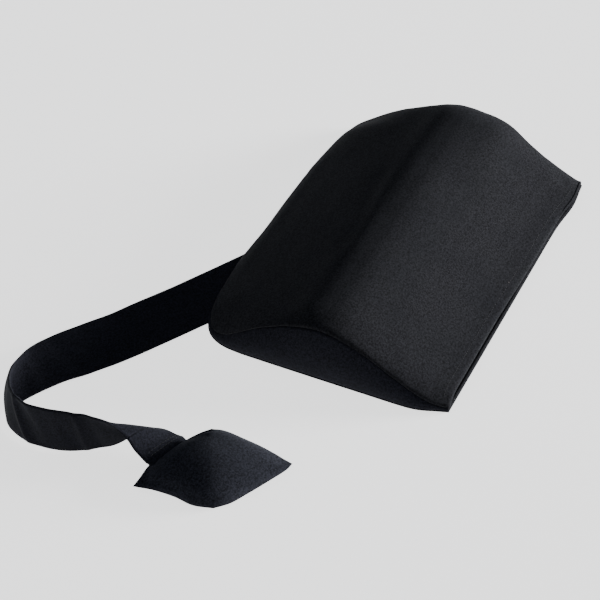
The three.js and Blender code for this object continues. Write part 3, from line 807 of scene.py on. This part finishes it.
def strap_point(w, face):
    """Surface points at w in -1..1 across, face +1 above and -1 below, for each station."""
    # round at the two edges, with a low bead beside them
    thick = STRAP_THICK / 2 * np.sqrt(max(0.0, 1 - abs(w) ** 10))
    thick += 0.00045 * hump(abs(w), 0.93, 0.05)
    lift = cup * (1 - w * w)
    quiet = 1 - 0.8 * w ** 6
    for place, slant, width, high in FOLDS:
        lift = lift + quiet * high * hump(free - place, slant * w, width)
    base = middle + chord * (w / 2)
    wave = value_noise(base, 0.034, 7.0) * 0.0005 + value_noise(base, 0.015, 8.0) * 0.00025
    lift = lift + wave * smooth((free - 0.02) / 0.2)
    return base + normal * (lift + face * thick)[:, None]


ring = []
ring_u = []
for face in (1, -1):
    for w in np.sin(np.linspace(-math.pi / 2, math.pi / 2, ACROSS + 1)[:-1]) * face:
        ring.append(strap_point(float(w), face))
        ring_u.append(w * STRAP_WIDTH / 2 + (0 if face > 0 else OTHER_FACE_U))
strap_grid = np.stack(ring, axis=1)
strap_grid[..., 2] = np.maximum(strap_grid[..., 2], 0.0001)


def strap_piece(name, first, last):
    """Closed band between two stations, its ends capped flat."""
    part = strap_grid[first:last + 1]
    count, wide = part.shape[:2]
    faces = grid_faces(count, wide, wrap=True, flip=True)
    end = (count - 1) * wide
    faces.append(tuple(range(wide)))
    faces.append(tuple(range(end + wide - 1, end - 1, -1)))
    uv = np.dstack(np.broadcast_arrays(np.array(ring_u)[None], run[first:last + 1, None]))
    obj = build(name, part.reshape(-1, 3), faces, uv.reshape(-1, 2), STRAP)
    for polygon in obj.data.polygons[-2:]:
        polygon.use_smooth = False
    return obj


NECK_LENGTH = 0.026
neck_row = int(np.searchsorted(run, run[seam_row] - NECK_LENGTH))
strap = strap_piece("strap_band", 0, neck_row)
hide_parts("strap_root", "strap_free")
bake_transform(strap)
neck = strap_piece("strap_neck", neck_row, len(run) - 1)
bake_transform(neck)


# ---- zip coils and stitching ----
TUBE_SIDES = 5
STITCH_LENGTH, STITCH_GAP = 0.0026, 0.0009


def tube(path, radius, start=0):
    """Vertices and faces of a closed tube along a path, its first index given."""
    path = np.asarray(path, float)
    step = np.gradient(path, axis=0)
    step /= np.linalg.norm(step, axis=1)[:, None]
    side = np.cross(step, [0.31, 0.22, 0.92])
    side /= np.linalg.norm(side, axis=1)[:, None]
    up = np.cross(side, step)
    turn = np.linspace(0, 2 * math.pi, TUBE_SIDES, endpoint=False)
    points = (path[:, None] + radius * (side[:, None] * np.cos(turn)[None, :, None]
                                        + up[:, None] * np.sin(turn)[None, :, None]))
    faces = grid_faces(len(path), TUBE_SIDES, start, wrap=True)
    end = start + (len(path) - 1) * TUBE_SIDES
    faces.append(tuple(range(start + TUBE_SIDES - 1, start - 1, -1)))
    faces.append(tuple(range(end, end + TUBE_SIDES)))
    return points.reshape(-1, 3), faces


def stitches(name, rows, radius=0.00022):
    """Thread stitches along rows of (point, normal) pairs, joined in one mesh."""
    vertices, faces = [], []
    for points, normals in rows:
        total = np.linalg.norm(np.diff(points, axis=0), axis=1).sum()
        count = max(1, int(total / (STITCH_LENGTH + STITCH_GAP)))
        for k in range(count):
            begin = k * (STITCH_LENGTH + STITCH_GAP)
            part = np.linspace(begin, begin + STITCH_LENGTH, 5) / total
            spot, out = along(points, part), along(normals, part)
            # the thread dips into the cloth at both ends of a stitch
            high = radius * 0.9 * np.array([-1.2, 0.3, 0.6, 0.3, -1.2])
            block, more = tube(spot + out * high[:, None], radius, len(vertices))
            vertices.extend(block)
            faces.extend(more)
    return build(name, vertices, faces, np.array(vertices)[:, :2], THREAD)


COIL_TURNS = 216
COIL_WIRE = 0.00027
COIL_DEEP, COIL_HIGH = 0.00055, 0.00125
COIL_END = 0.0004
for name, cad, middle_z, phase in (("zip_coil_upper", "zip_coil_front", 0.00735, 0.0),
                                   ("zip_coil_lower", "zip_coil_back", 0.00525, math.pi)):
    lo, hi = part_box(cad)
    turn = np.linspace(0, 2 * math.pi * COIL_TURNS, COIL_TURNS * 12) + phase
    coil_path = np.stack([
        np.linspace(lo[0] + COIL_END, hi[0] - COIL_END, len(turn)),
        (lo[1] + hi[1]) / 2 + COIL_DEEP * np.cos(turn),
        middle_z + COIL_HIGH * np.sin(turn),
    ], 1)
    coil_points, coil_faces = tube(coil_path, COIL_WIRE)
    coil = build(name, coil_points, coil_faces, coil_points[:, :2], COIL)
    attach(coil, "cushion")
    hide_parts(cad)

# zip pull: a waisted tab with an eye for the slider's arch and a slot near its end (mm)
PULL_AT = np.array(joints["zip_pull_swing"]["pos_m"])
PULL_TIP, PULL_EYE = -15.0, 0.45
where = np.linspace(0, 1, 25)
tab_x = PULL_EYE + (PULL_TIP - PULL_EYE) * (0.5 - 0.5 * np.cos(math.pi * where))
tab_half = 1.5 - 0.4 * hump(tab_x, -6.5, 2.0)
tip_round = np.clip((tab_x - PULL_TIP) / 2.2, 0, 1) ** 0.5
eye_round = np.clip((PULL_EYE - tab_x) / 0.8, 0, 1) ** 0.4
tab_half *= tip_round * eye_round
tab_outline = [*zip(tab_x, tab_half), *zip(tab_x[-2:0:-1], -tab_half[-2:0:-1])]
tab_holes = [[(-0.5, -0.95), (-0.5, 0.95), (-4.0, 0.95), (-4.0, -0.95)],
             [(-9.8, -0.4), (-9.8, 0.4), (-10.2, 0.7), (-12.4, 0.7), (-12.8, 0.4),
              (-12.8, -0.4), (-12.4, -0.7), (-10.2, -0.7)]]
tab_curve = bpy.data.curves.new("pull_outline", "CURVE")
tab_curve.dimensions = "2D"
tab_curve.fill_mode = "BOTH"
tab_curve.extrude = 0.00029
tab_curve.bevel_depth = 0.00016
tab_curve.bevel_resolution = 2
for loop in [tab_outline] + tab_holes:
    spline_loop = tab_curve.splines.new("POLY")
    spline_loop.points.add(len(loop) - 1)
    for point, (x, y) in zip(spline_loop.points, loop):
        point.co = (x * MM, y * MM, 0, 1)
    spline_loop.use_cyclic_u = True
tab_object = bpy.data.objects.new("pull_outline", tab_curve)
bpy.context.scene.collection.objects.link(tab_object)
tab_mesh = bpy.data.meshes.new_from_object(
    tab_object.evaluated_get(bpy.context.evaluated_depsgraph_get()))
bpy.data.objects.remove(tab_object)
tab_mesh.transform(Matrix.Translation(PULL_AT) @ Matrix.Rotation(math.pi / 2, 4, "X"))
welded = bmesh.new()
welded.from_mesh(tab_mesh)
bmesh.ops.remove_doubles(welded, verts=welded.verts, dist=1e-6)
bmesh.ops.recalc_face_normals(welded, faces=welded.faces)
welded.to_mesh(tab_mesh)
welded.free()
tab_mesh.materials.clear()
tab_mesh.materials.append(ENAMEL)
pull = bpy.data.objects.new("zip_tab", tab_mesh)
bpy.context.scene.collection.objects.link(pull)
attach(pull, "zip_pull")
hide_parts("zip_pull")

# box stitch that holds the strap's sewn end to the back panel, seen from underneath
stitch_z = STRAP_LEVEL - STRAP_THICK / 2 - 0.00002
x0, x1 = -STRAP_WIDTH / 2 + 0.005, STRAP_WIDTH / 2 - 0.005
y0, y1 = BEND_AT[1] - SEWN_LENGTH + 0.004, BEND_AT[1] - 0.006
box_corners = [(x0, y0), (x1, y0), (x1, y1), (x0, y1), (x0, y0), (x1, y1)]
box_lines = list(zip(box_corners, box_corners[1:])) + [((x0, y1), (x1, y0))]
box_rows = []
for a, b in box_lines:
    points = np.array([(*a, stitch_z), (*b, stitch_z)])
    box_rows.append((resample(points, 20), np.tile([0.0, 0.0, -1.0], (20, 1))))
box_stitch = stitches("strap_box_stitch", box_rows)
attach(box_stitch, "cushion")

# two rows across the strap where it enters the pouch
seam_rows = []
for back_from in (0.0030, 0.0062):
    row = int(np.searchsorted(run, run[seam_row] - back_from))
    w = np.linspace(-0.86, 0.86, 40)
    points = np.array([strap_point(float(k), 1)[row] for k in w])
    seam_rows.append((points, np.tile(normal[row], (40, 1))))
neck_stitch = stitches("neck_stitch", seam_rows)
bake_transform(neck_stitch)

# topstitch of the front hem above the zip
hem_row = surface[3]
hem_step = np.gradient(surface[:6], axis=0)[3]
hem_across = np.gradient(hem_row, axis=0)
hem_out = np.cross(hem_across, hem_step)
hem_out /= np.linalg.norm(hem_out, axis=1)[:, None]
hem_stitch = stitches("hem_stitch", [(resample(hem_row[4:-4], 400),
                                      resample(hem_out[4:-4], 400))], radius=0.00017)
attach(hem_stitch, "cushion")


# ---- counterweight pouch ----
# seam line on each side of the pouch, corner to corner (mm); left and right are the ears
STRAP_SEAM = [(-383, 90, 7.5), (-374, 89.5, 7), (-357, 88, 8), (-338, 80, 9.5), (-321, 71, 13),
              (-312, 61, 19), (-304, 50, 24.5)]
PEAK_SEAM = [(-304, 50, 24.5), (-299, 38, 21), (-296, 18, 14.5), (-295, 0, 10.5),
             (-296, -19, 7), (-297.5, -27.5, 6.5)]
LOW_SEAM = [(-383, 90, 7.5), (-380.5, 87.8, 5), (-378.5, 73, 6), (-376.5, 52, 4.4),
            (-378, 33, 3.3), (-373, 15, 2.6)]
TIP_SEAM = [(-373, 15, 2.6), (-361.5, 3.8, 2.8), (-345.5, -5.4, 3.6), (-325.4, -16, 4.6),
            (-304.5, -26, 5.6), (-297.5, -27.5, 6.5)]
POUCH_N = 60
POUCH_HIGH = 0.0215
POUCH_PRESSURE = 5.0
CLOTH_CAP = 0.0015
CLOTH_SLACK = 0.0015
CLOTH_FRAMES = 20


def pouch_side(points):
    return resample(spline(points), POUCH_N) * MM


def pouch_surface(face):
    """Grid of the pouch's upper (+1) or lower (-1) panel; rows run from the strap side."""
    seam = pouch_patch()
    s = np.linspace(0, 1, POUCH_N)[:, None]
    t = np.linspace(0, 1, POUCH_N)[None, :]
    u, v = 2 * s - 1, 2 * t - 1
    fill = np.clip((1 - u * u) * (1 - v * v), 0, 1)
    ridge = 1 - np.abs(s + t - 1) ** 1.2
    plan = seam.copy()
    if face > 0:
        plan[..., 2] += POUCH_HIGH * fill ** 0.62 * (0.84 + 0.16 * ridge)
        # slack beside the neck, and the fold along the seam under the strap
        notch = np.exp(-(((s - 0.06) / 0.13) ** 2 + ((t - 0.72) / 0.13) ** 2))
        fold = hump(t, 0.055, 0.035) * smooth(s / 0.1) * smooth((0.95 - s) / 0.3)
        dimple = np.exp(-(((s - 0.12) / 0.05) ** 2 + ((t - 0.86) / 0.05) ** 2))
        plan[..., 2] -= 0.0026 * notch * (1 - u ** 8) + 0.0012 * fold + 0.0009 * dimple
    else:
        plan[..., 2] -= (plan[..., 2] - 0.0004) * np.minimum(1, 3.6 * fill)
    return plan


def pouch_patch():
    """Coons patch through the four seam lines; rows from strap side to low side."""
    strap_side, tip_side = pouch_side(STRAP_SEAM), pouch_side(TIP_SEAM)
    low_side, peak_side = pouch_side(LOW_SEAM), pouch_side(PEAK_SEAM)
    s = np.linspace(0, 1, POUCH_N)[:, None, None]
    t = np.linspace(0, 1, POUCH_N)[None, :, None]
    patch = (1 - s) * strap_side[None] + s * tip_side[None]
    patch = patch + (1 - t) * low_side[:, None] + t * peak_side[:, None]
    corners = (1 - s) * ((1 - t) * strap_side[0] + t * strap_side[-1])
    return patch - corners - s * ((1 - t) * tip_side[0] + t * tip_side[-1])


def cloth_settle(obj, pinned):
    """Inflate a mesh as cloth with its pinned vertices held, and keep the result."""
    start = np.array([v.co[:] for v in obj.data.vertices])
    group = obj.vertex_groups.new(name="seam")
    group.add([int(k) for k in pinned], 1.0, "REPLACE")
    cloth = obj.modifiers.new("cloth", "CLOTH")
    cloth.settings.quality = 6
    cloth.settings.mass = 0.25
    cloth.settings.tension_stiffness = 30
    cloth.settings.compression_stiffness = 20
    cloth.settings.shear_stiffness = 12
    cloth.settings.bending_stiffness = 1.5
    cloth.settings.use_pressure = True
    cloth.settings.uniform_pressure_force = POUCH_PRESSURE
    cloth.settings.shrink_min = -CLOTH_SLACK
    cloth.settings.effector_weights.gravity = 0
    cloth.settings.vertex_group_mass = group.name
    cloth.collision_settings.use_collision = False
    cloth.point_cache.frame_start = 1
    cloth.point_cache.frame_end = CLOTH_FRAMES
    scene = bpy.context.scene
    for number in range(1, CLOTH_FRAMES + 1):
        scene.frame_set(number)
    shaped = obj.evaluated_get(bpy.context.evaluated_depsgraph_get())
    end = np.array([v.co[:] for v in shaped.data.vertices])
    obj.modifiers.remove(cloth)
    obj.vertex_groups.remove(group)
    scene.frame_set(1)
    move = end - start
    size = np.linalg.norm(move, axis=1)[:, None]
    move = move * np.minimum(1, CLOTH_CAP / np.maximum(size, 1e-9))
    for vertex, place in zip(obj.data.vertices, start + move):
        vertex.co = place
    obj.data.update()


def pouch_grids():
    """Upper and lower grids of the pouch, settled as one closed cloth bag."""
    upper, lower = pouch_surface(1), pouch_surface(-1)
    count = POUCH_N * POUCH_N
    index = np.arange(count).reshape(POUCH_N, POUCH_N)
    inside = np.zeros_like(index, dtype=bool)
    inside[1:-1, 1:-1] = True
    under_index = index.copy()
    under_index[inside] = count + np.arange(inside.sum())
    faces = grid_faces(POUCH_N, POUCH_N, flip=True)
    faces += [tuple(int(under_index.flat[k]) for k in face)
              for face in grid_faces(POUCH_N, POUCH_N)]
    points = np.vstack([upper.reshape(-1, 3), lower[inside]])
    bag = build("pouch_cloth", points, faces)
    cloth_settle(bag, np.r_[index[~inside], under_index[inside]])
    settled = np.array([v.co[:] for v in bag.data.vertices])
    bpy.data.objects.remove(bag)
    return settled[index], settled[under_index]


pouch_top_grid, pouch_base_grid = pouch_grids()
pouch_top = grid_piece("pouch_top", pouch_top_grid, POUCH, flip=True, thickness=0.0)
pouch_base = grid_piece("pouch_base", pouch_base_grid, POUCH, thickness=0.0)
for piece, cad in ((pouch_top, "pouch_upper_panel"), (pouch_base, "pouch_lower_panel")):
    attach(piece, "counterweight")
    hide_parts(cad)

# weight bag: the pouch's own shape without its border, and shrunk inside it
BAG_TRIM = 7
BAG_FILL = 0.62
trim = slice(BAG_TRIM, POUCH_N - BAG_TRIM)
top_in, low_in = pouch_top_grid[trim, trim], pouch_base_grid[trim, trim]
bag_top, bag_low = top_in.copy(), top_in.copy()
bag_low[..., 2] = low_in[..., 2] + 0.0016
room = np.maximum(top_in[..., 2] - bag_low[..., 2], 0)
bag_top[..., 2] = bag_low[..., 2] + 0.0006 + BAG_FILL * room
bag = slab("weight_bag", bag_top, bag_low, bag_top[..., :2], CANVAS, flip=True)
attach(bag, "counterweight")
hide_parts("pouch_weight_bag")

# ---- floor, and the materials of the CAD nodes that stay ----
bpy.ops.mesh.primitive_plane_add(size=14.0, location=(0, 0, -0.0002))
floor = bpy.context.object
floor.name = "floor"
floor_mat, tree, shader = new_material("floor")
# the floor glows a little, so that it stays pale round a black object
shader.inputs["Base Color"].default_value = (0.42, 0.42, 0.42, 1)
shader.inputs["Roughness"].default_value = 0.9
shader.inputs["Emission Color"].default_value = (1, 1, 1, 1)
shader.inputs["Emission Strength"].default_value = 1.7
floor.data.materials.append(floor_mat)

for name, material in (
    ("strap_anchor_patch", CANVAS), ("zip_tape_front", TAPE), ("zip_tape_back", TAPE),
    ("zip_stop_closed", ENAMEL), ("zip_stop_open", ENAMEL), ("zip_slider", ENAMEL),
):
    obj = frame["nodes"][name]
    obj.data.materials.clear()
    obj.data.materials.append(material)
